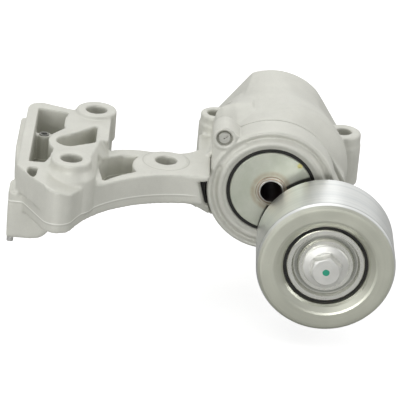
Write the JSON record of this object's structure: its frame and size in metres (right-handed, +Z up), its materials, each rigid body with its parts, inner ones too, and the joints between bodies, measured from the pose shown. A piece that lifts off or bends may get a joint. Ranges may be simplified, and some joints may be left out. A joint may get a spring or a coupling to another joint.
{
  "type": "belt tensioner",
  "caption": "Die-cast belt tensioner: pocketed bracket with a spring drum, a sprung arm on a pivot, and a smooth steel idler pulley on a ball bearing.",
  "frame": {"origin": "centre of the bracket's middle bolt hole, on the flat mounting plane under the bracket arm", "axes": "+Z up along the bolt holes, away from the engine face; -Y towards the pulley's front; +X from the bolted block towards the pulley"},
  "size_m": [0.1958, 0.1465, 0.0917],
  "materials": {
    "cast_aluminium": "matte die-cast",
    "pulley_steel": "satin turned",
    "zinc_plate": "satin zinc plated",
    "bolt_steel": "bright zinc plated",
    "dust_shield": "polished pressed steel",
    "bronze": "plain bearing bronze",
    "black_rubber": "matte",
    "bearing_steel": "ground",
    "spring_steel": "oil tempered",
    "glide_plastic": "matte"
  },
  "bodies": {
    "bracket": {"bracket_casting": "cast_aluminium", "foot_dowel_pin": "bolt_steel", "threaded_insert": "bolt_steel", "stop_pad": "black_rubber", "pivot_shaft": "bearing_steel", "retaining_plate": "zinc_plate", "bronze_collar": "bronze", "thrust_washer": "glide_plastic", "wear_ring": "glide_plastic", "damping_sleeve": "glide_plastic", "torsion_spring": "spring_steel", "rear_spring_seat": "glide_plastic", "rear_shaft_spacer": "bearing_steel"},
    "arm": {"arm_casting": "cast_aluminium", "front_pivot_bush": "bronze", "rear_pivot_bush": "bronze", "front_spring_seat": "glide_plastic", "plate_seal_ring": "black_rubber", "lock_pin": "bolt_steel", "bearing_inner_ring": "bearing_steel", "bearing_sleeve": "bearing_steel", "front_spacer": "bearing_steel", "rear_spacer": "bearing_steel", "rear_dust_shield": "dust_shield", "front_dust_shield": "dust_shield", "pulley_bolt": "bolt_steel"},
    "pulley": {"pulley_shell": "pulley_steel", "pulley_dust_ring": "black_rubber", "bearing_outer_ring": "bearing_steel", "bearing_front_seal": "black_rubber", "bearing_rear_seal": "black_rubber"},
    "ball_set": {"bearing_balls": "bearing_steel", "bearing_cage": "glide_plastic"}
  },
  "joints": [
    {"name": "arm_pivot", "type": "hinge", "parent": "bracket", "child": "arm", "pos_m": [0.0545, 0, 0.006], "axis": [0, 1, 0], "range_deg": [0, 25], "stiffness_Nm_per_rad": 20, "springref_deg": -57.3},
    {"name": "pulley_spin", "type": "hinge", "parent": "arm", "child": "pulley", "pos_m": [0.0838, -0.02825, -0.0162], "axis": [0, 1, 0], "continuous": true},
    {"name": "ball_set_spin", "type": "hinge", "parent": "arm", "child": "ball_set", "pos_m": [0.0838, -0.031, -0.0162], "axis": [0, 1, 0], "continuous": true}
  ],
  "couplings": [
    {"joint": "ball_set_spin", "follows": "pulley_spin", "ratio": 0.618}
  ]
}
